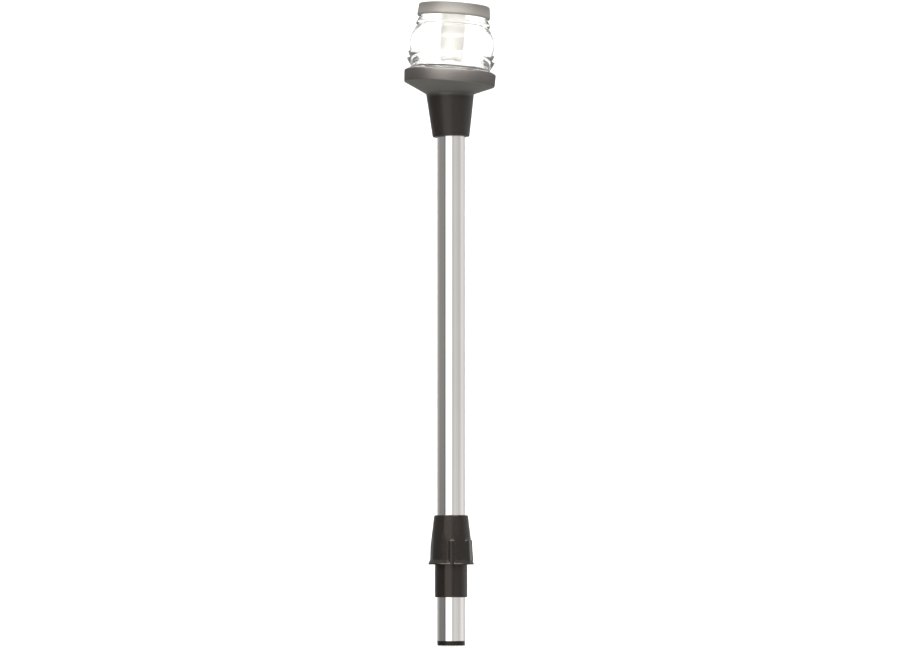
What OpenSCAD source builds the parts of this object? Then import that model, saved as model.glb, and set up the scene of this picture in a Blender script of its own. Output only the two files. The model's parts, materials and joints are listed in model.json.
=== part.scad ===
// Removable all-round boat light: a lamp head with a barrel lens on a plug-in aluminium pole,
// with a ribbed locking collar that screws down onto the deck base.
// Millimetres, +Z up. The origin is the centre of the plug's bottom face, on the pole's axis.
// The lamp leans a few degrees off the pole's axis, towards +X.

/* [Pole] */
// Outer diameter of the pole tube
tube_d = 25.4; // [25.2:0.1:25.6]
// Wall thickness of the pole tube
tube_wall = 1.25; // [1.2:0.05:1.4]
// Height of the bottom edge of the lamp's neck above the plug's face
neck_z = 465.5; // [300:0.5:1500]
// Height of the plug's flange, the black end below the tube
plug_flange_h = 4.2; // [3.5:0.1:5]

/* [Sleeve] */
// Height at which the sleeve's bottom edge sits
sleeve_z = 44; // [40:0.5:48]
// Outer diameter of the sleeve that enters the deck base
sleeve_d = 29.8; // [29.6:0.1:30]

/* [Collar] */
// Height of the collar's bottom edge when it rests on the sleeve
collar_z = 73.8; // [72:0.1:76]
// Number of grip ribs, in seven equal places; the last places are left plain
rib_count = 5; // [3:1:5]
// Angle of the first rib, from -Y towards +X
rib_phase = 2.5; // [1:0.5:5]
// Pitch of the collar's internal thread
collar_pitch = 4.2; // [3.6:0.1:4.6]

/* [Lamp] */
// Lean of the lamp's axis off the pole's axis, towards +X
lamp_tilt = 3.7; // [0:0.1:5]
// Radius of the housing's flange
flange_r = 42.1; // [41.5:0.1:43]
// Outer diameter of the bulb's glass
bulb_d = 22; // [22:0.5:24]
// Outer diameter of the white lamp holder
holder_d = 22.4; // [21:0.2:24]

/* [Lens thread] */
// Rise of the lens for one full turn of its ramped lugs
lens_lead = 12; // [8:0.5:14]

/* [Hidden] */
$fn = 96;

tube_r = tube_d / 2;
tube_in = tube_r - tube_wall;
tube_top = neck_z + 34.5;
lamp_z = neck_z + 58.9;        // flange's top edge on the lamp's axis
lamp_x = -0.9;                 // lamp's axis there, off the pole's axis
neck_lean = -1.3;              // lean of the neck's outside
neck_top = neck_z + 39.2;      // where the neck meets the underside of the flange
pin_x = 5;                     // contact sockets either side of the pole's axis
socket_r = 3;
pin_r = 2;
lead_r = 1;
sleeve_r = sleeve_d / 2;
rib_places = 7;
washer_z = 104.05;
thread_r = 17.6;               // collar's threaded bore, at the thread's root
entry = 55;                    // where the bulb's pins enter their slots
pocket = 35;                   // turn of the bulb's pins in their slots
pin_h = 6.5;                   // height of the bulb's pins above the flange's top edge
contact_x = 3.2;
well_r = 32.9;
spigot_r = 31;
ramp_in = 31.3;
lug_out = 32.4;
ramp_span = 60;
lug_span = 25;

// ---------- helpers ----------
module in_lamp() translate([lamp_x, 0, lamp_z]) rotate([0, lamp_tilt, 0]) children();
// The same for a point of the lamp, in the pole's frame
function lamp_pt(x, y, h) = [lamp_x + x * cos(lamp_tilt) + h * sin(lamp_tilt), y, lamp_z - x * sin(lamp_tilt) + h * cos(lamp_tilt)];
function lamp_ring(r, h, n) = [for (i = [0:n - 1]) lamp_pt(r * cos(360 * i / n), r * sin(360 * i / n), h)];
function level_ring(r, x, z, n) = [for (i = [0:n - 1]) [x + r * cos(360 * i / n), r * sin(360 * i / n), z]];
// A solid skinned over rings of n points, from the top ring to the bottom one
module skin(rings, n) {
    m = len(rings);
    polyhedron(points = [for (ring = rings) each ring], faces = concat([[for (j = [n - 1:-1:0]) j]],
        [for (i = [0:m - 2]) for (j = [0:n - 1]) each [[i * n + j, i * n + (j + 1) % n, (i + 1) * n + (j + 1) % n], [i * n + j, (i + 1) * n + (j + 1) % n, (i + 1) * n + j]]],
        [[for (j = [0:n - 1]) (m - 1) * n + j]]), convexity = 4);
}
// A ring between two radii, from z0 to z1
module ring(ri, ro, z0, z1) translate([0, 0, z0]) difference() {
    cylinder(r = ro, h = z1 - z0);
    translate([0, 0, -1]) cylinder(r = ri, h = z1 - z0 + 2);
}
// Points of an arc, from angle a0 to a1
function arc(cx, cy, r, a0, a1, n) = [for (i = [0:n]) let (a = a0 + (a1 - a0) * i / n) [cx + r * cos(a), cy + r * sin(a)]];
function unit(v) = v / norm(v);
// A swept tube with n sides along points p
module sweep_tube(p, r, n = 8) {
    m = len(p);
    tangent = [for (i = [0:m - 1]) unit(p[min(i + 1, m - 1)] - p[max(i - 1, 0)])];
    side = [for (t = tangent) unit(cross(t, abs(t[1]) < 0.9 ? [0, 1, 0] : [1, 0, 0]))];
    other = [for (i = [0:m - 1]) cross(tangent[i], side[i])];
    pts = [for (i = [0:m - 1]) for (j = [0:n - 1]) p[i] + r * (cos(360 * j / n) * side[i] + sin(360 * j / n) * other[i])];
    faces = concat([[for (j = [0:n - 1]) j]],
        [for (i = [0:m - 2]) for (j = [0:n - 1]) [i * n + j, (i + 1) * n + j, (i + 1) * n + (j + 1) % n, i * n + (j + 1) % n]],
        [[for (j = [n - 1:-1:0]) (m - 1) * n + j]]);
    polyhedron(points = pts, faces = faces, convexity = 6);
}
// A lug or ramp that follows a helix: four corners at each step, [radius, height], with the rise of one full turn.
// Heights named "flat" stay level, the others climb with the angle.
module helix_block(a0, span, r0, r1, lo, hi, lead, lo_climbs, hi_climbs, n) {
    pts = [for (i = [0:n]) let (a = a0 + span * i / n, c = lead * span * i / n / 360,
            zl = lo + (lo_climbs ? c : 0), zh = hi + (hi_climbs ? c : 0))
        each [[r0 * cos(a), r0 * sin(a), zl], [r1 * cos(a), r1 * sin(a), zl], [r1 * cos(a), r1 * sin(a), zh], [r0 * cos(a), r0 * sin(a), zh]]];
    faces = concat([[3, 2, 1, 0]],
        [for (i = [0:n - 1]) for (j = [0:3]) [i * 4 + j, i * 4 + (j + 1) % 4, (i + 1) * 4 + (j + 1) % 4, (i + 1) * 4 + j]],
        [[4 * n, 4 * n + 1, 4 * n + 2, 4 * n + 3]]);
    polyhedron(points = pts, faces = faces, convexity = 4);
}
// Countersunk self-tapping screw lying along +Y, with its head's face at y = reach
module csk_screw(head_r, shank_r, reach, tip, sink) rotate([-90, 0, 0]) difference() {
    rotate_extrude() polygon([[0, tip], [shank_r * 0.35, tip], [shank_r, tip + 1.2], [shank_r, reach - sink],
        [head_r, reach - 0.25], [head_r, reach], [0, reach]]);
    for (a = [0, 90]) rotate([0, 0, a]) translate([-head_r * 0.62, -0.28, reach - 0.8]) cube([head_r * 1.24, 0.56, 2]);
}
module csk_hole(head_r, shank_r, reach, tip, sink) rotate([-90, 0, 0])
    rotate_extrude() polygon([[0, tip], [shank_r, tip], [shank_r, reach - sink], [head_r, reach - 0.25], [head_r, reach + 4], [0, reach + 4]]);

// ---------- lower end ----------
module plug_body() color([0.09, 0.09, 0.09]) difference() {
    union() {
        rotate_extrude() polygon([[0, 0], [tube_r - 0.5, 0], [tube_r - 0.05, 0.45], [tube_r - 0.05, plug_flange_h - 0.02], [tube_in - 0.03, plug_flange_h - 0.02],
            [tube_in - 0.03, 20], [tube_in - 0.9, 20], [tube_in - 0.9, 22], [tube_in - 0.03, 22], [tube_in - 0.03, 25], [tube_in - 0.7, 26], [0, 26]]);
    }
    for (s = [-1, 1]) translate([s * pin_x, 0, 0]) {
        translate([0, 0, 0.8]) cylinder(r = socket_r + 0.02, h = 30);
        translate([0, 0, -1]) cylinder(r = pin_r + 0.4, h = 3);
    }
    // key slot that sets the plug's turn in the base
    translate([-1.6, tube_r - 2.2, -1]) cube([3.2, 4, plug_flange_h + 2]);
    translate([0, 0, 14]) csk_hole(2.5, 1.05, tube_r, 4, 1.3);
}
module plug_seal() color([0.13, 0.13, 0.13])
    translate([0, 0, 21]) rotate_extrude() translate([tube_in - 0.46, 0]) circle(r = 0.43, $fn = 32);
module contact_sockets() color([0.80, 0.62, 0.28])
    for (s = [-1, 1]) translate([s * pin_x, 0, 0]) difference() {
        rotate_extrude() polygon([[0, 0.82], [socket_r, 0.82], [socket_r, 20], [1.7, 20.6], [1.7, 28], [0, 28]]);
        translate([0, 0, 0.5]) cylinder(r = pin_r, h = 14.3);
        translate([0, 0, 23]) cylinder(r = lead_r + 0.12, h = 8);
        // slit that lets the socket grip the pin
        translate([-0.25, socket_r - 1.6, 0.5]) cube([0.5, 3, 9]);
    }
module plug_screw() color([0.75, 0.75, 0.76]) translate([0, 0, 14]) csk_screw(2.4, 1.0, tube_r - 0.03, 5, 1.3);

// ---------- pole ----------
module pole_tube() color([0.80, 0.80, 0.81]) difference() {
    ring(tube_in, tube_r, plug_flange_h, tube_top);
    translate([0, 0, 14]) csk_hole(2.5, 1.05, tube_r, 4, 1.3);
    translate([0, 0, sleeve_z + 15]) rotate([-90, 0, 0]) cylinder(r = 1.2, h = 20, $fn = 48);
    translate([0, 0, neck_z + 16]) rotate([-90, 0, 0]) cylinder(r = 1.4, h = 20, $fn = 48);
}
module pole_sleeve() color([0.10, 0.10, 0.10]) difference() {
    rotate_extrude() polygon([[tube_r + 0.02, sleeve_z], [sleeve_r - 0.6, sleeve_z], [sleeve_r, sleeve_z + 0.6], [sleeve_r, collar_z - 0.1],
        [sleeve_r - 0.3, collar_z + 0.2], [sleeve_r - 0.3, washer_z - 0.05], [tube_r + 0.02, washer_z - 0.05]]);
    translate([0, 0, sleeve_z + 15]) csk_hole(2.5, 1.2, sleeve_r, 4, 1.5);
}
module sleeve_screw() color([0.75, 0.75, 0.76]) translate([0, 0, sleeve_z + 15]) csk_screw(2.4, 1.15, sleeve_r - 0.03, 9.6, 1.5);
module wire_grommet() color([0.12, 0.12, 0.12]) difference() {
    rotate_extrude() polygon([[0, tube_top - 5], [tube_in - 0.05, tube_top - 5], [tube_in - 0.05, tube_top + 0.02], [tube_r - 0.3, tube_top + 0.02],
        [tube_r - 0.3, tube_top + 0.9], [0, tube_top + 0.9]]);
    for (s = [-1, 1]) translate([s * 3.6, 0, tube_top - 6]) cylinder(r = lead_r + 0.06, h = 10, $fn = 32);
}

// ---------- leads ----------
// Route of the lead on the side s, from its contact socket up the tube to the lamp holder
function lead_path(s) = [
    [s * 5.0, 0, 23.2], [s * 5.0, 0, 32], [s * 4.0, s * 1.5, 60], [s * 2.6, s * 2.6, 140], [s * 2.6, s * -2.6, 260],
    [s * 2.6, s * 2.6, 380], [s * 3.2, s * 1.6, neck_z - 15], [s * 3.6, 0, tube_top - 8], [s * 3.6, 0, tube_top - 4],
    [s * 3.6, 0, tube_top + 4], lamp_pt(s * 3.5, 0, -12), lamp_pt(s * 3.5, 0, -8.35)];
module lead_positive() color([0.70, 0.08, 0.07]) sweep_tube(lead_path(1), lead_r, 8);
module lead_negative() color([0.07, 0.07, 0.07]) sweep_tube(lead_path(-1), lead_r, 8);
module lead_terminals() color([0.82, 0.70, 0.42]) in_lamp()
    for (s = [-1, 1]) translate([s * 3.5, 0, 0]) rotate_extrude()
        polygon([[0, -8.3], [1.35, -8.3], [1.35, -4.6], [0.9, -4.4], [0.9, -3.4], [0, -3.4]]);

// ---------- locking collar ----------
module collar_washer() color([0.86, 0.85, 0.80]) ring(tube_r + 0.25, 15.55, washer_z, washer_z + 1.5);
module rib() {
    // a rounded bar that leans out with the collar's flare
    translate([16.9, 0, collar_z - 2]) rotate([0, -3.4, 0])
        rotate_extrude() polygon([[0, 0], [4.3, 0], [4.3, 23.0], [4.15, 23.9], [3.7, 24.7], [2.9, 25.4], [1.6, 26.0], [0, 26.2]]);
}
module flat_panel() {
    // cuts a shallow flat between two places for ribs, with a ledge above the skirt
    translate([0, 0, collar_z]) rotate([90, 0, 0]) linear_extrude(height = 16, center = true)
        polygon([[18.78, 4.1], [30, 4.1], [30, 48], [16.6, 40], [18.42, 15.9]]);
}
module locking_collar() color([0.11, 0.11, 0.11]) {
    difference() {
        union() {
            difference() {
                rotate([0, 0, -139]) rotate_extrude() polygon([[0, collar_z + 45.1], [14.9, collar_z + 45.1], [15.6, collar_z + 44.4], [18.85, collar_z + 17.3],
                    [19.2, collar_z + 5.2], [19.4, collar_z + 4.2], [20.9, collar_z + 1.0], [21.0, collar_z + 0.4], [20.7, collar_z], [0, collar_z]]);
                for (i = [0:rib_places - 1]) rotate([0, 0, -90 + rib_phase + (i + 0.5) * 360 / rib_places]) flat_panel();
            }
            difference() {
                for (i = [0:rib_count - 1]) rotate([0, 0, -90 + rib_phase + i * 360 / rib_places]) rib();
                translate([0, 0, collar_z - 10]) cylinder(r = 40, h = 10);
            }
        }
        translate([0, 0, collar_z - 1]) cylinder(r = thread_r, h = 19.1);
        translate([0, 0, collar_z - 1]) cylinder(r1 = thread_r + 2.2, r2 = thread_r - 0.4, h = 2.6);
        translate([0, 0, collar_z + 18]) cylinder(r1 = thread_r, r2 = 15.1, h = 2.5);
        translate([0, 0, collar_z + 10]) cylinder(r = 15.1, h = washer_z - collar_z - 10.3);
        translate([0, 0, washer_z - 0.5]) cylinder(r = 15.25, h = 1);
        translate([0, 0, washer_z - 0.05]) cylinder(r = 15.65, h = 1.65);
        translate([0, 0, collar_z]) cylinder(r = tube_r + 0.25, h = 60);
    }
    // internal thread, two turns
    translate([0, 0, collar_z + 3.6]) collar_thread();
}
module collar_thread() {
    n = 24;
    turns = 2;
    pts = [for (i = [0:n * turns]) let (a = 360 * i / n, z = collar_pitch * i / n, t = min(1, i / 3, (n * turns - i) / 3), c = thread_r + 0.35 - 1.2 * t)
        each [[(thread_r + 0.4) * cos(a), (thread_r + 0.4) * sin(a), z - 1.0], [(thread_r + 0.4) * cos(a), (thread_r + 0.4) * sin(a), z + 1.0],
              [c * cos(a), c * sin(a), z + 0.45], [c * cos(a), c * sin(a), z - 0.45]]];
    m = n * turns;
    faces = concat([[3, 2, 1, 0]],
        [for (i = [0:m - 1]) for (j = [0:3]) [i * 4 + j, i * 4 + (j + 1) % 4, (i + 1) * 4 + (j + 1) % 4, (i + 1) * 4 + j]],
        [[m * 4, m * 4 + 1, m * 4 + 2, m * 4 + 3]]);
    polyhedron(points = pts, faces = faces, convexity = 8);
}

// ---------- lamp housing ----------
module lamp_housing() color([0.17, 0.165, 0.155]) {
    difference() {
        union() {
            in_lamp() rotate_extrude() polygon([[0, 3.8], [35.6, 3.8], [36.1, 3.6], [flange_r - 0.25, 0.1], [flange_r, -0.5],
                [flange_r - 0.5, -10.5], [flange_r - 0.85, -10.9], [0, -10.9]]);
            // underside, from the leaning flange to the level top of the neck
            skin([lamp_ring(36, -9.6, 96), lamp_ring(flange_r - 0.87, -10.92, 96), level_ring(22.02, -0.88, neck_top, 96), level_ring(18, -0.88, neck_top - 1.5, 96)], 96);
            translate([0, 0, neck_z]) rotate([0, neck_lean, 0])
                rotate_extrude() polygon([[0, 0], [16.5, 0], [16.95, 0.45], [22.42, 42.5], [0, 42.5]]);
        }
        in_lamp() {
            translate([0, 0, -7.5]) cylinder(r = well_r, h = 20);
            translate([0, 0, 2.15]) cylinder(r = 34.4, h = 10);
            for (s = [-1, 1]) translate([0, s * 16.5, -15.5]) cylinder(r = 1.25, h = 20, $fn = 48);
        }
        translate([0, 0, neck_z - 1]) cylinder(r = tube_r + 0.02, h = tube_top - neck_z + 2);
        translate([0, 0, tube_top]) cylinder(r = 9.4, h = 25);
        translate([0, 0, neck_z + 16]) csk_hole(2.95, 1.4, 18.4, 4, 1.7);
    }
    // ramps that hold the lens down by its lugs
    in_lamp() for (i = [0:2]) rotate([0, 0, 120 * i])
        helix_block(0, ramp_span, ramp_in, well_r + 0.6, -1.5, 2.0, lens_lead, true, false, 8);
}
module neck_screw() color([0.75, 0.75, 0.76]) translate([0, 0, neck_z + 16]) csk_screw(2.8, 1.35, 18.35, 9.4, 1.7);

// ---------- lamp holder and contacts ----------
module lamp_holder() color([0.93, 0.92, 0.89]) in_lamp() difference() {
    // a white reflector plate that covers the well's floor, with the holder's tower in its middle
    rotate_extrude() polygon([[0, -7.48], [31.6, -7.48], [32.2, -7.2], [32.2, -5.5], [31.8, -5.1], [holder_d / 2 + 0.8, -5.1], [holder_d / 2, -4.2],
        [holder_d / 2 - 0.1, 13.6], [holder_d / 2 - 0.5, 14.3], [0, 14.3]]);
    translate([0, 0, -4]) cylinder(r = 8.25, h = 20);
    for (s = [-1, 1]) {
        translate([s * 3.5, 0, -12]) cylinder(r = 1.4, h = 20, $fn = 32);
        translate([0, s * 16.5, -12]) cylinder(r = 1.75, h = 10, $fn = 48);
    }
}
module holder_screws() color([0.75, 0.75, 0.76]) in_lamp() for (s = [-1, 1]) translate([0, s * 16.5, 0]) difference() {
    rotate_extrude() polygon([[0, -15], [0.4, -15], [1.2, -13.6], [1.2, -7.5], [1.65, -7.3], [1.65, -5.06], [2.9, -5.06], [2.9, -4.1], [2.2, -3.3], [0, -3.1]]);
    for (a = [30, 120]) rotate([0, 0, a]) translate([-1.6, -0.3, -4.1]) cube([3.2, 0.6, 2]);
}
module socket_shell() color([0.82, 0.81, 0.78]) in_lamp() difference() {
    ring(7.7, 8.2, -3.98, 11.3);
    // a slot down, a slot across and a pocket for each pin
    for (s = [0, 180]) rotate([0, 0, s + entry]) {
        translate([6, -1.15, 3.1]) cube([4, 2.3, 10]);
        translate([0, 0, 3.2]) rotate_extrude(angle = pocket) translate([6, 0]) square([4, 2.5]);
        rotate([0, 0, pocket]) translate([6, -1.15, 3.3]) cube([4, 2.3, 4.35]);
    }
}
module contact_plate() color([0.45, 0.28, 0.16]) in_lamp() difference() {
    translate([0, 0, 1]) cylinder(r = 7.68, h = 1.6);
    for (s = [-1, 1]) translate([s * contact_x, 0, 0]) cylinder(r = 1.32, h = 6, $fn = 48);
}
module contact_plungers() color([0.80, 0.62, 0.28]) in_lamp()
    for (s = [-1, 1]) translate([s * contact_x, 0, 0])
        rotate_extrude() polygon([[0, -1.4], [0.8, -1.4], [1.0, -1.2], [1.0, 0.35], [2.2, 0.35], [2.2, 0.98], [1.3, 0.98], [1.3, 3.3], [0.8, 3.85], [0, 3.98]]);
module contact_springs() color([0.7, 0.7, 0.72]) in_lamp()
    for (s = [-1, 1]) translate([s * contact_x, 0, 0])
        sweep_tube([for (i = [0:54]) let (a = 30 * i, z = -3.72 + 3.8 * i / 54) [1.65 * cos(a), 1.65 * sin(a), z]], 0.22, 5);

// ---------- bulb ----------
module bulb_base() color([0.80, 0.79, 0.76]) in_lamp() {
    rotate_extrude() polygon([[7.1, 4.9], [7.35, 4.9], [7.5, 5.2], [7.5, 15.2], [7.62, 15.5], [7.62, 16.1], [7.5, 16.4], [7.1, 16.4]]);
    rotate([0, 0, entry + pocket]) for (s = [0, 180]) rotate([0, 0, s]) translate([7.2, 0, pin_h]) rotate([0, 90, 0]) cylinder(r = 1, h = 0.97, $fn = 48);
}
module bulb_insulator() color([0.05, 0.05, 0.05]) in_lamp()
    rotate_extrude() polygon([[0, 4.5], [6.2, 4.5], [7.05, 5.0], [7.05, 6.2], [0, 6.2]]);
module bulb_contacts() color([0.78, 0.78, 0.78]) in_lamp()
    for (s = [-1, 1]) translate([s * contact_x, 0, 0]) rotate_extrude() polygon([[0, 4.02], [0.9, 4.08], [1.4, 4.3], [1.4, 4.49], [0, 4.49]]);
bulb_r = bulb_d / 2;
bulb_c = 25.5;                 // height of the filament
module bulb_glass() color([0.95, 0.95, 0.92, 0.6]) in_lamp()
    rotate_extrude() polygon(concat(
        [[6.0, 12.5], [7.05, 12.5], [7.05, 16.5]],
        arc(bulb_r - 3.6, 20.4, 3.6, -88, 0, 8),
        arc(bulb_r - 2.6, 51.0, 2.6, 0, 84, 8), [[4, 53.85], [0, 53.95], [0, 53.15], [4, 53.05]],
        arc(bulb_r - 2.6, 51.0, 1.8, 84, 0, 8),
        arc(bulb_r - 3.6, 20.4, 2.8, 0, -88, 8),
        [[6.2, 17.4], [6.0, 16.9]]));
module bulb_stem() color([0.85, 0.9, 0.9, 0.6]) in_lamp()
    rotate_extrude() polygon([[0, 13], [5.95, 12.6], [5.95, 13.3], [3.2, 14.6], [2.5, 16.5], [2.2, 19.4], [1.6, 20], [0, 20.2]]);
module filament_posts() color([0.6, 0.6, 0.6]) in_lamp()
    for (s = [-1, 1]) sweep_tube([[s * 1.2, 0, 20.2], [s * 2.4, 0, 21.6], [s * 4.0, 0, 23.6], [s * 4.0, 0, bulb_c - 0.1]], 0.28, 8);
module bulb_filament() color([0.35, 0.34, 0.33]) in_lamp()
    translate([-3.7, 0, bulb_c - 0.5]) rotate([0, 90, 0]) cylinder(r = 0.45, h = 7.4, $fn = 24);

// ---------- lens and cap ----------
// Outer side of the lens from its foot to its top: two prism rings, the barrel, a step and the neck
lens_outer = concat(
    [[spigot_r, 4.22], [36.3, 4.22], [36.7, 4.7], [38.2, 6.9], [39.4, 8.8], [40.4, 10.9], [40.2, 11.25], [37.5, 11.9], [38.1, 13.5], [38.9, 15.2], [39.7, 16.9], [39.5, 17.25], [37.2, 17.8],
     [37.4, 18.6]],
    arc(20.35, 24.8, 18.5, -17.5, -3.5, 5),
    arc(10.35, 24.8, 28.5, 0, 36, 16),
    [[33.0, 41.9], [32.9, 42.5], [34.1, 43.4], [34.0, 44.8], [33.1, 46.4], [32.2, 48.4], [31.6, 50.6], [31.2, 51.0], [31.2, 58.6], [30.8, 59.0], [0, 59.0]]);
lens_inner = concat([[0, 56.2], [24, 56.2]], arc(24.4, 50.0, 6.2, 86, 8, 6),
    [[30.6, 47.8], [30.6, 9], [30.3, 7.2], [29.6, 5.4], [28.6, 3.5], [28.6, -4.2], [28.9, -4.5], [30.7, -4.5], [31.0, -4.2]]);
module lens() color([0.92, 0.96, 0.97, 0.35]) in_lamp() union() {
    rotate_extrude($fn = 128) polygon(concat(lens_outer, lens_inner));
    for (i = [0:2]) rotate([0, 0, 120 * i + 5])
        helix_block(0, lug_span, 30.4, lug_out, -3.6 + lens_lead * 5 / 360, -1.62 + lens_lead * 5 / 360, lens_lead, true, true, 4);
}
module lens_gasket() color([0.12, 0.12, 0.12]) in_lamp() rotate_extrude() translate([33.05, 3.2]) circle(r = 1, $fn = 48);
module cap_liner() color([0.95, 0.95, 0.93]) in_lamp()
    rotate_extrude($fn = 128) polygon([[31.24, 51.6], [31.62, 51.6], [31.62, 59.7], [31.3, 60.0], [0, 60.0], [0, 59.04], [30.85, 59.04], [31.24, 58.65]]);
module top_cap() color([0.44, 0.43, 0.41]) in_lamp()
    rotate_extrude($fn = 128) polygon([[31.66, 51.2], [32.2, 50.75], [32.95, 50.8], [33.5, 51.8], [33.55, 52.7], [32.55, 61.2], [32.25, 61.8], [31.5, 62.15],
        [24, 62.6], [12, 62.9], [0, 63.0], [0, 60.04], [31.34, 60.04], [31.66, 59.75]]);

plug_body();
plug_seal();
contact_sockets();
plug_screw();
pole_tube();
pole_sleeve();
sleeve_screw();
collar_washer();
locking_collar();
lamp_housing();
neck_screw();
wire_grommet();
lead_positive();
lead_negative();
lead_terminals();
lamp_holder();
holder_screws();
socket_shell();
contact_plate();
contact_plungers();
contact_springs();
bulb_base();
bulb_insulator();
bulb_contacts();
bulb_glass();
bulb_stem();
filament_posts();
bulb_filament();
lens();
lens_gasket();
cap_liner();
top_cap();
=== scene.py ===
import json
import math
import bmesh
import bpy
import numpy as np
from mathutils import Matrix, Vector


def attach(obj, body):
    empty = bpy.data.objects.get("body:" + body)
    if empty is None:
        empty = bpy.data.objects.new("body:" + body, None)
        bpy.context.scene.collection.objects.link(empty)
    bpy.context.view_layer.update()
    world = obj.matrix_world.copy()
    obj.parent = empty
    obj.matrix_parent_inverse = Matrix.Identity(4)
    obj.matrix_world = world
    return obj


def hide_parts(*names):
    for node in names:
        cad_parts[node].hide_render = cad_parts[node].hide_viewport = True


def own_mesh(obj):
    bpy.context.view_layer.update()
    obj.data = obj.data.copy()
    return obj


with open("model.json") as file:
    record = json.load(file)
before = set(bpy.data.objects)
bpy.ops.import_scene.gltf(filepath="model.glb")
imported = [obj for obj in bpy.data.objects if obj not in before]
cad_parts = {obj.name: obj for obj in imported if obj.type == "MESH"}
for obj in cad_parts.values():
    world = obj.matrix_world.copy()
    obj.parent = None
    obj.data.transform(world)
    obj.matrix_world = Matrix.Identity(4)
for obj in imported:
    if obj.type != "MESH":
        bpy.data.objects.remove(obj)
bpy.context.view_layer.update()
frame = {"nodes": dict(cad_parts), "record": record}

MM = 0.001
BODY_OF = {n: b for b, ns in frame["record"]["behaviour"]["bodies"].items() for n in ns}
SLOT_OF = {s["node"]: s["material_slot"] for s in frame["record"]["subparts"]}

TILT = math.radians(3.7)
LAMP_Z = 524.4
UP = Matrix.Identity(4)


# ---------------------------------------------------------------- materials
def new_mat(name):
    m = bpy.data.materials.new(name)
    m.use_nodes = True
    nt = m.node_tree
    b = nt.nodes["Principled BSDF"]
    return m, nt, b


def link(nt, a, b):
    nt.links.new(a, b)


def coords(nt, scale=(1, 1, 1)):
    tc = nt.nodes.new("ShaderNodeTexCoord")
    mp = nt.nodes.new("ShaderNodeMapping")
    mp.inputs["Scale"].default_value = scale
    link(nt, tc.outputs["Object"], mp.inputs["Vector"])
    return mp.outputs["Vector"]


def noise(nt, vec, scale, detail=3.0, rough=0.5):
    n = nt.nodes.new("ShaderNodeTexNoise")
    n.inputs["Scale"].default_value = scale
    n.inputs["Detail"].default_value = detail
    n.inputs["Roughness"].default_value = rough
    link(nt, vec, n.inputs["Vector"])
    return n.outputs["Fac"]


def ramp(nt, fac, a, b, lo=0.0, hi=1.0):
    r = nt.nodes.new("ShaderNodeMapRange")
    r.inputs["From Min"].default_value = a
    r.inputs["From Max"].default_value = b
    r.inputs["To Min"].default_value = lo
    r.inputs["To Max"].default_value = hi
    link(nt, fac, r.inputs["Value"])
    return r.outputs["Result"]


def mix_colour(nt, fac, a, b):
    m = nt.nodes.new("ShaderNodeMix")
    m.data_type = "RGBA"
    m.inputs[6].default_value = (*a, 1)
    m.inputs[7].default_value = (*b, 1)
    link(nt, fac, m.inputs[0])
    return m.outputs[2]


def bump(nt, b, height, strength, distance):
    n = nt.nodes.new("ShaderNodeBump")
    n.inputs["Strength"].default_value = strength
    n.inputs["Distance"].default_value = distance
    link(nt, height, n.inputs["Height"])
    link(nt, n.outputs["Normal"], b.inputs["Normal"])


def plastic(name, base, rough, grain=900.0, grain_strength=0.12, vary=0.10, spec=0.5, coat=0.0, tint=(1, 1, 1), ior=1.5, glow=0.0):
    """Moulded plastic: a fine grain in the surface, with small changes of tone and gloss."""
    m, nt, b = new_mat(name)
    v = coords(nt)
    big = noise(nt, v, 45.0, 4.0, 0.6)
    fine = noise(nt, v, grain, 2.0, 0.6)
    lo = tuple(c * (1 - vary) for c in base)
    hi = tuple(min(1.0, c * (1 + vary)) for c in base)
    link(nt, mix_colour(nt, ramp(nt, big, 0.3, 0.7), lo, hi), b.inputs["Base Color"])
    link(nt, ramp(nt, big, 0.3, 0.7, rough * 0.93, min(1.0, rough * 1.07)), b.inputs["Roughness"])
    b.inputs["Specular IOR Level"].default_value = spec
    b.inputs["Coat Weight"].default_value = coat
    b.inputs["Specular Tint"].default_value = (*tint, 1)
    b.inputs["IOR"].default_value = ior
    b.inputs["Emission Strength"].default_value = glow
    bump(nt, b, fine, grain_strength, 0.00015)
    return m


def metal(name, base, rough, stretch=(1, 1, 1), scale=600.0, depth=0.00004, strength=0.15, vary=0.04, aniso=0.0):
    """Metal with a drawn or brushed grain."""
    m, nt, b = new_mat(name)
    v = coords(nt, stretch)
    grain = noise(nt, v, scale, 3.0, 0.6)
    soft = noise(nt, coords(nt), 30.0, 3.0, 0.5)
    lo = tuple(c * (1 - vary) for c in base)
    hi = tuple(min(1.0, c * (1 + vary)) for c in base)
    link(nt, mix_colour(nt, ramp(nt, soft, 0.3, 0.7), lo, hi), b.inputs["Base Color"])
    link(nt, ramp(nt, grain, 0.3, 0.7, rough * 0.85, rough * 1.15), b.inputs["Roughness"])
    b.inputs["Metallic"].default_value = 1.0
    b.inputs["Anisotropic"].default_value = aniso
    bump(nt, b, grain, strength, depth)
    return m


def glass(name, tint, rough, ior=1.5, fine=0.0):
    m, nt, b = new_mat(name)
    v = coords(nt)
    n = noise(nt, v, 60.0, 2.0, 0.5)
    lo = tuple(c * 0.985 for c in tint)
    link(nt, mix_colour(nt, ramp(nt, n, 0.3, 0.7), lo, tint), b.inputs["Base Color"])
    b.inputs["Transmission Weight"].default_value = 1.0
    b.inputs["IOR"].default_value = ior
    link(nt, ramp(nt, n, 0.3, 0.7, rough * 0.8, rough * 1.2 + 0.001), b.inputs["Roughness"])
    if fine:
        bump(nt, b, noise(nt, v, 120.0, 2.0, 0.5), fine, 0.0001)
    return m


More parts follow.
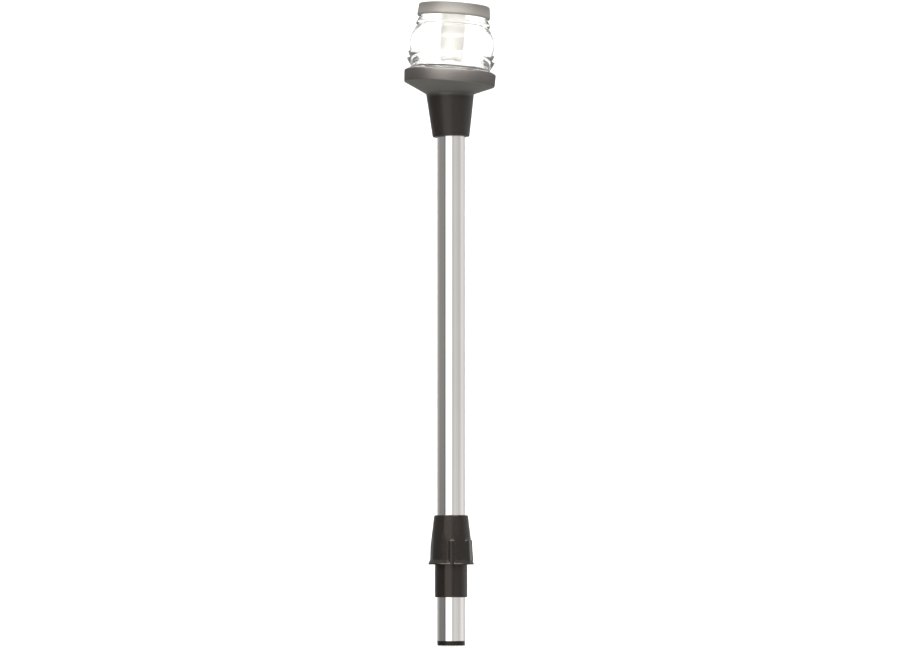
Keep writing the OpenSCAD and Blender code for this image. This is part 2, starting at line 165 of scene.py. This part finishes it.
WARM = (1.0, 0.87, 0.79)
MATS = {
    "plug_plastic": plastic("plug_plastic", (0.0052, 0.0047, 0.0043), 0.28, grain_strength=0.03, spec=0.24, tint=WARM),
    "seal_rubber": plastic("seal_rubber", (0.016, 0.016, 0.016), 0.65, spec=0.3),
    "contact_brass": metal("contact_brass", (0.80, 0.60, 0.28), 0.22),
    "stainless": metal("stainless", (0.62, 0.61, 0.60), 0.24),
    "pole_aluminium": metal("pole_aluminium", (0.86, 0.83, 0.80), 0.115, stretch=(1, 1, 0.012), scale=900.0, depth=0.00001, strength=0.10, vary=0.012),
    "sleeve_plastic": plastic("sleeve_plastic", (0.0066, 0.0056, 0.0049), 0.17, grain_strength=0.02, spec=0.44, tint=WARM),
    "washer_nylon": plastic("washer_nylon", (0.70, 0.68, 0.60), 0.5),
    "collar_plastic": plastic("collar_plastic", (0.0088, 0.0076, 0.0067), 0.14, grain_strength=0.02, spec=0.32, tint=WARM),
    "red_insulation": plastic("red_insulation", (0.45, 0.02, 0.02), 0.35),
    "black_insulation": plastic("black_insulation", (0.015, 0.015, 0.015), 0.35),
    "holder_plastic": plastic("holder_plastic", (0.95, 0.94, 0.89), 0.35, grain_strength=0.03, vary=0.02),
    "nickel_plate": metal("nickel_plate", (0.78, 0.75, 0.70), 0.18),
    "fibre_plate": plastic("fibre_plate", (0.20, 0.10, 0.05), 0.6),
    "spring_steel": metal("spring_steel", (0.5, 0.5, 0.52), 0.3),
    "black_glass": plastic("black_glass", (0.01, 0.01, 0.01), 0.1, grain_strength=0.0),
    "solder": metal("solder", (0.66, 0.66, 0.66), 0.35),
    "stem_glass": glass("stem_glass", (0.95, 0.97, 0.97), 0.03, 1.5),
    "tungsten": metal("tungsten", (0.25, 0.25, 0.25), 0.45),
    # painted light: the cap's foam liner glows, though it is no lamp, to light the top of the column under the cap
    "liner_foam": plastic("liner_foam", (0.90, 0.90, 0.88), 0.7, grain_strength=0.2, vary=0.02, glow=0.35),
}


def vmath(nt, op, a, b=None):
    n = nt.nodes.new("ShaderNodeMath")
    n.operation = op
    for i, v in enumerate((a, b)):
        if v is None:
            continue
        if isinstance(v, (int, float)):
            n.inputs[i].default_value = v
        else:
            link(nt, v, n.inputs[i])
    return n.outputs[0]


def lamp_radius(nt, v, h):
    """Distance in metres from the lamp's own leaning axis."""
    sub = nt.nodes.new("ShaderNodeVectorMath")
    sub.operation = "SUBTRACT"
    sub.inputs[1].default_value = (-0.0009, 0, LAMP_Z * MM)
    link(nt, v, sub.inputs[0])
    size = nt.nodes.new("ShaderNodeVectorMath")
    size.operation = "LENGTH"
    link(nt, sub.outputs["Vector"], size.inputs[0])
    square = vmath(nt, "SUBTRACT", vmath(nt, "MULTIPLY", size.outputs["Value"], size.outputs["Value"]), vmath(nt, "MULTIPLY", h, h))
    return vmath(nt, "SQRT", vmath(nt, "MAXIMUM", square, 0.0))


def lamp_height(nt, v):
    """Height in metres along the lamp's own leaning axis, from the flange's seat."""
    dot = nt.nodes.new("ShaderNodeVectorMath")
    dot.operation = "DOT_PRODUCT"
    dot.inputs[1].default_value = (math.sin(TILT), 0, math.cos(TILT))
    link(nt, v, dot.inputs[0])
    return vmath(nt, "SUBTRACT", dot.outputs["Value"], -0.0009 * math.sin(TILT) + LAMP_Z * MM * math.cos(TILT))


def facing_gloss(nt, at_front, at_edge):
    """Gloss that fades where the surface turns away, as on a satin-moulded skin."""
    lw = nt.nodes.new("ShaderNodeLayerWeight")
    lw.inputs["Blend"].default_value = 0.5
    return ramp(nt, lw.outputs["Facing"], 0.15, 0.80, at_front, at_edge)


def housing():
    """The housing's black plastic: matt round the neck; under the flange and round its side painted paler with a satin
    gloss, painted light standing in for the light that falls there; painted near-white within the well, standing in for
    light; and a polished edge on the chamfer.
    """
    m, nt, b = new_mat("housing_plastic")
    v = coords(nt)
    big = noise(nt, v, 45.0, 4.0, 0.6)
    h = lamp_height(nt, v)
    sepz = nt.nodes.new("ShaderNodeSeparateXYZ")
    link(nt, v, sepz.inputs["Vector"])
    # painted light: above the neck the black plastic is painted paler, standing in for the light bounced up onto the
    # underside from the floor
    painted_light_zone = ramp(nt, sepz.outputs["Z"], 0.5015, 0.5065)
    # painted light: the flange's side is painted paler than the neck, standing in for the light falling on it
    side = ramp(nt, h, -0.0109, -0.0104)
    line = vmath(nt, "MULTIPLY", ramp(nt, h, 0.0006, 0.0010), ramp(nt, h, 0.0027, 0.0030, 1, 0))
    seat = ramp(nt, h, 0.0029, 0.0033)
    # painted light: within the well the housing is painted near-white, standing in for light, so the shaded well shows
    # pale through the lens
    painted_pale_well = vmath(nt, "MULTIPLY", ramp(nt, lamp_radius(nt, v, h), 0.0350, 0.0352, 1, 0), ramp(nt, h, -0.0078, -0.0077))
    neck = mix_colour(nt, ramp(nt, big, 0.3, 0.7), (0.0092, 0.0082, 0.0074), (0.0108, 0.0097, 0.0087))
    last = neck
    for fac, colour in ((painted_light_zone, (0.070, 0.068, 0.060)), (side, (0.027, 0.025, 0.0235)), (seat, (0.030, 0.028, 0.026)), (painted_pale_well, (0.80, 0.79, 0.75))):
        mix = nt.nodes.new("ShaderNodeMix")
        mix.data_type = "RGBA"
        mix.inputs[7].default_value = (*colour, 1)
        link(nt, fac, mix.inputs[0])
        link(nt, last, mix.inputs[6])
        last = mix.outputs[2]
    link(nt, last, b.inputs["Base Color"])
    gloss = facing_gloss(nt, 1.0, 0.06)
    rise = ramp(nt, h, -0.0105, -0.0010, 0.50, 1.0)
    spec = vmath(nt, "ADD", ramp(nt, painted_light_zone, 0, 1, 0.38, 0.85), vmath(nt, "MULTIPLY", vmath(nt, "SUBTRACT", vmath(nt, "MULTIPLY", gloss, rise), 0.85), side))
    spec = vmath(nt, "MULTIPLY", spec, ramp(nt, seat, 0, 1, 1, 0.3))
    link(nt, vmath(nt, "MAXIMUM", spec, line), b.inputs["Specular IOR Level"])
    link(nt, vmath(nt, "SUBTRACT", ramp(nt, painted_light_zone, 0, 1, 0.31, 0.40), vmath(nt, "MULTIPLY", line, 0.22)), b.inputs["Roughness"])
    link(nt, ramp(nt, side, 0, 1, 1.50, 1.80), b.inputs["IOR"])
    b.inputs["Specular Tint"].default_value = (1.0, 0.93, 0.88, 1)
    link(nt, line, b.inputs["Coat Weight"])
    b.inputs["Coat Roughness"].default_value = 0.20
    b.inputs["Coat IOR"].default_value = 2.0
    bump(nt, b, noise(nt, v, 900.0, 2.0, 0.6), 0.05, 0.00015)
    return m


def cap():
    """The cap's warm grey satin plastic, a little duller towards its top."""
    m, nt, b = new_mat("cap_plastic")
    v = coords(nt)
    big = noise(nt, v, 45.0, 4.0, 0.6)
    rise = ramp(nt, lamp_height(nt, v), 0.0520, 0.0615)
    tone = mix_colour(nt, ramp(nt, big, 0.3, 0.7), (0.140, 0.132, 0.122), (0.152, 0.144, 0.134))
    mix = nt.nodes.new("ShaderNodeMix")
    mix.data_type = "RGBA"
    mix.inputs[7].default_value = (0.092, 0.087, 0.081, 1)
    link(nt, rise, mix.inputs[0])
    link(nt, tone, mix.inputs[6])
    link(nt, mix.outputs[2], b.inputs["Base Color"])
    link(nt, ramp(nt, rise, 0, 1, 0.90, 0.32), b.inputs["Specular IOR Level"])
    link(nt, ramp(nt, big, 0.3, 0.7, 0.38, 0.42), b.inputs["Roughness"])
    b.inputs["IOR"].default_value = 1.55
    b.inputs["Specular Tint"].default_value = (1.0, 0.97, 0.93, 1)
    bump(nt, b, noise(nt, v, 900.0, 2.0, 0.6), 0.05, 0.00015)
    return m


def pearl():
    """Pearl bulb glass: bright, milky, lit through, with a painted glow on its upper part, standing in for light where
    the cap shades it.
    """
    m, nt, b = new_mat("pearl_glass")
    v = coords(nt)
    n = noise(nt, v, 80.0, 3.0, 0.6)
    link(nt, mix_colour(nt, ramp(nt, n, 0.3, 0.7), (0.770, 0.756, 0.718), (0.795, 0.780, 0.742)), b.inputs["Base Color"])
    link(nt, ramp(nt, n, 0.3, 0.7, 0.28, 0.36), b.inputs["Roughness"])
    b.inputs["Transmission Weight"].default_value = 0.15
    b.inputs["IOR"].default_value = 1.45
    b.inputs["Emission Color"].default_value = (1.0, 0.97, 0.90, 1)
    # painted light: the glow rises towards the top, standing in for the light the cap keeps off the column
    link(nt, ramp(nt, lamp_height(nt, v), 0.035, 0.043, 0.0, 0.27), b.inputs["Emission Strength"])
    bump(nt, b, noise(nt, v, 700.0, 2.0, 0.5), 0.05, 0.0001)
    return m


def lens_glass():
    """The lens's clear moulding, with a light frosting on the outside of the two sharp prism rings above its foot,
    partly a frosted finish and partly painted light: its diffuse white lightens the dark refractions there.
    """
    m, nt, b = new_mat("clear_lens")
    v = coords(nt)
    n = noise(nt, v, 60.0, 2.0, 0.5)
    link(nt, mix_colour(nt, ramp(nt, n, 0.3, 0.7), (0.970, 0.975, 0.970), (0.985, 0.990, 0.985)), b.inputs["Base Color"])
    h = lamp_height(nt, v)
    outer = ramp(nt, lamp_radius(nt, v, h), 0.0335, 0.0340)
    # partly frosting, partly painted light: less transmission leaves a diffuse white that lightens the dark refractions
    # of the prism rings
    frost_and_painted_light = vmath(nt, "MULTIPLY", outer, vmath(nt, "MULTIPLY", ramp(nt, h, 0.0040, 0.0045), ramp(nt, h, 0.0150, 0.0185, 1, 0)))
    link(nt, vmath(nt, "MULTIPLY", frost_and_painted_light, 0.08), b.inputs["Roughness"])
    link(nt, ramp(nt, frost_and_painted_light, 0, 1, 1.0, 0.88), b.inputs["Transmission Weight"])
    b.inputs["IOR"].default_value = 1.33
    return m


MATS["pearl_glass"] = pearl()
MATS["clear_lens"] = lens_glass()
MATS["housing_plastic"] = housing()
MATS["cap_plastic"] = cap()


# ---------------------------------------------------------------- geometry
def add_piece(name, mesh, node, slot=None, replaces=None):
    o = bpy.data.objects.new(name, mesh)
    bpy.context.scene.collection.objects.link(o)
    s = slot or SLOT_OF[node]
    mesh.materials.clear()
    mesh.materials.append(MATS[s])
    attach(o, BODY_OF[node])
    if replaces is not False:
        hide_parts(*(replaces or [node]))
    return o


def finish_mesh(bm, name, angle=32):
    bmesh.ops.recalc_face_normals(bm, faces=bm.faces)
    me = bpy.data.meshes.new(name)
    bm.to_mesh(me)
    bm.free()
    me.shade_smooth()
    me.set_sharp_from_angle(angle=math.radians(angle))
    weigh_normals(me, angle)
    return me


def weigh_normals(me, angle):
    """Each corner's normal is the mean of the faces it meets smoothly, by area, so that long walls stay straight beside small roundings."""
    nl, npoly, nv = len(me.loops), len(me.polygons), len(me.vertices)
    if not npoly:
        return
    vert = np.empty(nl, np.int32)
    me.loops.foreach_get("vertex_index", vert)
    total = np.empty(npoly, np.int32)
    me.polygons.foreach_get("loop_total", total)
    area = np.empty(npoly)
    me.polygons.foreach_get("area", area)
    nrm = np.empty(npoly * 3)
    me.polygons.foreach_get("normal", nrm)
    nrm = nrm.reshape(-1, 3)
    poly = np.repeat(np.arange(npoly), total)
    order = np.argsort(vert, kind="stable")
    count = np.bincount(vert, minlength=nv)
    start = np.concatenate([[0], np.cumsum(count)[:-1]])
    mine = count[vert]
    a = np.repeat(np.arange(nl), mine)
    first = np.concatenate([[0], np.cumsum(mine)[:-1]])
    within = np.arange(len(a)) - np.repeat(first, mine)
    b = order[start[vert[a]] + within]
    pa, pb = poly[a], poly[b]
    near = np.einsum("ij,ij->i", nrm[pa], nrm[pb]) > math.cos(math.radians(angle))
    w = np.where(near, area[pb], 0.0)[:, None] * nrm[pb]
    out = np.stack([np.bincount(a, weights=w[:, k], minlength=nl) for k in range(3)], axis=1)
    size = np.linalg.norm(out, axis=1)
    bad = size < 1e-20
    out[bad] = nrm[poly[bad]]
    out /= np.maximum(np.linalg.norm(out, axis=1), 1e-20)[:, None]
    me.normals_split_custom_set(out.tolist())


def lathe(profile, n, mat, closed=True, angle=25, name="lathe"):
    """A turned solid from a list of (radius, height) in millimetres about the local Z axis."""
    bm = bmesh.new()
    rows = []
    for r, z in profile:
        if r < 1e-6:
            v = bm.verts.new(mat @ Vector((0, 0, z * MM)))
            rows.append([v] * n)
        else:
            rows.append([bm.verts.new(mat @ Vector((r * math.cos(2 * math.pi * i / n) * MM, r * math.sin(2 * math.pi * i / n) * MM, z * MM))) for i in range(n)])
    k = len(rows)
    for a in range(k if closed else k - 1):
        p, q = rows[a], rows[(a + 1) % k]
        if p[0] is p[1] and q[0] is q[1]:
            continue
        for i in range(n):
            j = (i + 1) % n
            face = [p[i], p[j], q[j], q[i]]
            face = [v for idx, v in enumerate(face) if v not in face[:idx]]
            if len(face) >= 3:
                bm.faces.new(face)
    return finish_mesh(bm, name, angle)


def smooth_copy(node, angle=32, name=None):
    """The CAD node's own shape with smooth shading up to its sharp edges."""
    bm = bmesh.new()
    bm.from_mesh(frame["nodes"][node].data)
    bmesh.ops.remove_doubles(bm, verts=bm.verts, dist=1e-6)
    bmesh.ops.dissolve_degenerate(bm, dist=1e-7, edges=bm.edges)
    return add_piece(name or "v_" + node, finish_mesh(bm, node, angle), node)


def arc(cx, cy, r, a0, a1, n):
    return [(cx + r * math.cos(math.radians(a0 + (a1 - a0) * i / n)), cy + r * math.sin(math.radians(a0 + (a1 - a0) * i / n))) for i in range(n + 1)]


made = {}
for node in sorted(BODY_OF):
    if node in ("pole_tube",):
        continue
    made[node] = smooth_copy(node)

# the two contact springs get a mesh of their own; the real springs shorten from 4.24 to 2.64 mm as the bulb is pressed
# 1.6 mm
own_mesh(made["contact_springs"])

TUBE_R, TUBE_IN, TUBE_TOP = 12.7, 11.45, 500.0
tube = lathe([(TUBE_IN, 4.2), (TUBE_R - 0.15, 4.2), (TUBE_R, 4.35), (TUBE_R, TUBE_TOP - 0.15), (TUBE_R - 0.15, TUBE_TOP), (TUBE_IN, TUBE_TOP)], 160, UP, name="pole_tube_body")
add_piece("tube_smooth", tube, "pole_tube")

# ---------------------------------------------------------------- stage
bpy.ops.mesh.primitive_plane_add(size=1)
floor = bpy.context.active_object
floor.name = "floor"
bm = bmesh.new()
W, FRONT, BACK, R, H = 9.0, -2.2, 2.4, 0.9, 3.2
prof = [(FRONT, -0.0006), (BACK - R, -0.0006)] + [(BACK - R + R * math.sin(math.radians(a)), -0.0006 + R - R * math.cos(math.radians(a))) for a in range(6, 91, 6)] + [(BACK, H)]
vs = [[bm.verts.new((x, y, z)) for y, z in prof] for x in (-W / 2, W / 2)]
for i in range(len(prof) - 1):
    bm.faces.new([vs[0][i], vs[0][i + 1], vs[1][i + 1], vs[1][i]])
floor.data = finish_mesh(bm, "floor", 60)
if floor.data.polygons[0].normal.z < 0:
    floor.data.flip_normals()
sm, snt, sb = new_mat("paper")
pn = noise(snt, coords(snt), 20.0, 3.0, 0.5)
link(snt, mix_colour(snt, ramp(snt, pn, 0.3, 0.7), (0.52, 0.52, 0.52), (0.535, 0.535, 0.535)), sb.inputs["Base Color"])
sb.inputs["Roughness"].default_value = 0.9
sb.inputs["Specular IOR Level"].default_value = 0.1
# the paper is only there from its own side, so that the light can be looked at from behind and from below
geo = snt.nodes.new("ShaderNodeNewGeometry")
clear = snt.nodes.new("ShaderNodeBsdfTransparent")
pick = snt.nodes.new("ShaderNodeMixShader")
snt.links.new(geo.outputs["Backfacing"], pick.inputs[0])
snt.links.new(sb.outputs["BSDF"], pick.inputs[1])
snt.links.new(clear.outputs["BSDF"], pick.inputs[2])
snt.links.new(pick.outputs["Shader"], snt.nodes["Material Output"].inputs["Surface"])
floor.data.materials.append(sm)
floor.visible_glossy = False  # so that the reflections are the studio's own

# ---------------------------------------------------------------- light
# The studio round the object: one bright side in front on the left, darker on the left, pale grey on the right,
# and a broad bright strip above the front. The floor below the front is dark for reflections.
# (degrees round from the camera's side, positive towards +X; brightness)
ROUND = [(-180, 0.46), (-142, 0.46), (-122, 0.38), (-107, 0.31), (-94, 0.28), (-82, 0.30), (-72, 0.27), (-62, 0.30), (-55, 0.17), (-50, 0.20), (-44, 1.1), (-38, 1.6), (0, 1.6), (4, 1.2),
         (10, 0.66), (15, 0.55), (23, 0.60), (32, 0.72), (41, 0.63), (50, 0.66), (59, 0.59), (69, 0.54), (79, 0.62), (90, 0.75), (103, 0.84), (117, 0.80), (135, 0.70), (160, 0.48), (180, 0.46)]
world = bpy.data.worlds.new("studio")
bpy.context.scene.world = world
world.use_nodes = True
wt = world.node_tree
bg = wt.nodes["Background"]
wc = wt.nodes.new("ShaderNodeTexCoord")
sep = wt.nodes.new("ShaderNodeSeparateXYZ")
wt.links.new(wc.outputs["Generated"], sep.inputs["Vector"])


def wmath(op, a, b=None):
    n = wt.nodes.new("ShaderNodeMath")
    n.operation = op
    for i, v in enumerate((a, b)):
        if v is None:
            continue
        if isinstance(v, (int, float)):
            n.inputs[i].default_value = v
        else:
            wt.links.new(v, n.inputs[i])
    return n.outputs[0]


def wramp(fac, stops):
    """A grey ramp over 0 to 1; brightness is kept under 1 here and scaled up after it."""
    n = wt.nodes.new("ShaderNodeValToRGB")
    n.color_ramp.interpolation = "LINEAR"
    els = n.color_ramp.elements
    while len(els) > 1:
        els.remove(els[-1])
    for i, (pos, val) in enumerate(stops):
        e = els[0] if i == 0 else els.new(pos)
        e.position = pos
        e.color = (val, val, val, 1)
    wt.links.new(fac, n.inputs["Fac"])
    return n.outputs["Color"]


def wmix(fac, a, b):
    m = wt.nodes.new("ShaderNodeMix")
    m.data_type = "RGBA"
    for sock, v in ((m.inputs[6], a), (m.inputs[7], b)):
        if isinstance(v, (int, float)):
            sock.default_value = (v, v, v, 1)
        else:
            wt.links.new(v, sock)
    wt.links.new(fac, m.inputs[0])
    return m.outputs[2]


def wrange(fac, lo, hi, to_lo=0.0, to_hi=1.0):
    n = wt.nodes.new("ShaderNodeMapRange")
    n.interpolation_type = "SMOOTHSTEP"
    n.inputs["From Min"].default_value = lo
    n.inputs["From Max"].default_value = hi
    n.inputs["To Min"].default_value = to_lo
    n.inputs["To Max"].default_value = to_hi
    wt.links.new(fac, n.inputs["Value"])
    return n.outputs["Result"]


az = wmath("ARCTAN2", sep.outputs["X"], wmath("MULTIPLY", sep.outputs["Y"], -1.0))
around = wramp(wmath("ADD", wmath("DIVIDE", az, 2 * math.pi), 0.5), [((d + 180) / 360, v) for d, v in ROUND])
height = sep.outputs["Z"]
# close to the horizon the bands are a little stronger
deep = wmath("MULTIPLY", wrange(az, math.radians(-125), math.radians(-105)), wrange(az, math.radians(-50), math.radians(-45), 1.0, 0.0))
pale = wmath("MULTIPLY", wrange(az, math.radians(6), math.radians(20)), wrange(az, math.radians(110), math.radians(140), 1.0, 0.0))
near = wrange(height, 0.005, 0.030, 1.0, 0.0)
gain = wmath("ADD", wmath("MULTIPLY", wmath("MULTIPLY", pale, near), 0.16), wmath("SUBTRACT", 1.0, wmath("MULTIPLY", wmath("MULTIPLY", deep, near), 0.28)))
scaled = wt.nodes.new("ShaderNodeMix")
scaled.data_type = "RGBA"
scaled.blend_type = "MULTIPLY"
scaled.inputs[0].default_value = 1.0
wt.links.new(around, scaled.inputs[6])
wt.links.new(gain, scaled.inputs[7])
# above, the bands melt into one soft white
sky = wmix(wrange(height, 0.20, 0.62), scaled.outputs[2], 0.95)
# below the horizon the bands go on, dimmer, and straight down it is bright
dim = wt.nodes.new("ShaderNodeMix")
dim.data_type = "RGBA"
dim.blend_type = "MULTIPLY"
dim.inputs[0].default_value = 1.0
dim.inputs[7].default_value = (0.62, 0.62, 0.62, 1)
wt.links.new(around, dim.inputs[6])
low = wmix(wrange(height, -0.98, -0.90, 1.0, 0.0), dim.outputs[2], 2.0)
both = wmix(wrange(height, -0.17, -0.05), low, sky)
# the strip above the front
front = wmath("MULTIPLY", wrange(height, 0.31, 0.41), wrange(height, 0.54, 0.66, 1.0, 0.0))
side = wrange(wmath("ABSOLUTE", az), math.radians(40), math.radians(80), 1.0, 0.0)
STRIP = 11.0
add = wt.nodes.new("ShaderNodeMix")
add.data_type = "RGBA"
add.blend_type = "ADD"
add.inputs[7].default_value = (STRIP, STRIP * 0.97, STRIP * 0.93, 1)
wt.links.new(wmath("MULTIPLY", front, side), add.inputs[0])
wt.links.new(both, add.inputs[6])
# seen straight from a camera the studio is plain white
path = wt.nodes.new("ShaderNodeLightPath")
wt.links.new(wmix(path.outputs["Is Camera Ray"], add.outputs[2], 1.0), bg.inputs["Color"])
bg.inputs["Strength"].default_value = 1.0


def softbox(name, az, el, dist, w, h, power, target=(0, 0, 0.33), colour=(1, 1, 1)):
    """A rectangular light; azimuth 0 is at the camera's side (-Y), positive towards +X."""
    light = bpy.data.lights.new(name, "AREA")
    light.shape = "RECTANGLE"
    light.size, light.size_y = w, h
    light.energy = power
    light.color = colour
    o = bpy.data.objects.new(name, light)
    a, e = math.radians(az), math.radians(el)
    t = Vector(target)
    o.location = t + Vector((math.sin(a) * math.cos(e), -math.cos(a) * math.cos(e), math.sin(e))) * dist
    o.rotation_euler = (t - o.location).to_track_quat("-Z", "Y").to_euler()
    o.visible_camera = False
    bpy.context.scene.collection.objects.link(o)
    return o


softbox("overhead", 180, 84, 1.5, 1.3, 1.3, 26)
softbox("front_high", 0, 42, 2.6, 2.0, 1.0, 12)
softbox("back_high", 180, 50, 2.0, 1.25, 0.8, 22, target=(0, 0, 0.50))

# ---------------------------------------------------------------- camera
cam = bpy.data.cameras.new("camera")
cam.sensor_width = 36
DIST, CAM_Z, MID_Z = 4.85, 0.05, 0.2937
cam.lens = 36 * DIST / 0.8223
cam.dof.use_dof = False
cam.clip_end = 100
co = bpy.data.objects.new("camera", cam)
bpy.context.scene.collection.objects.link(co)
bpy.context.scene.camera = co
co.location = (-0.0010, -DIST, CAM_Z)
co.rotation_euler = (math.radians(90) + math.atan((MID_Z - CAM_Z) / DIST), 0, 0)
bpy.context.scene.view_settings.view_transform = "Standard"
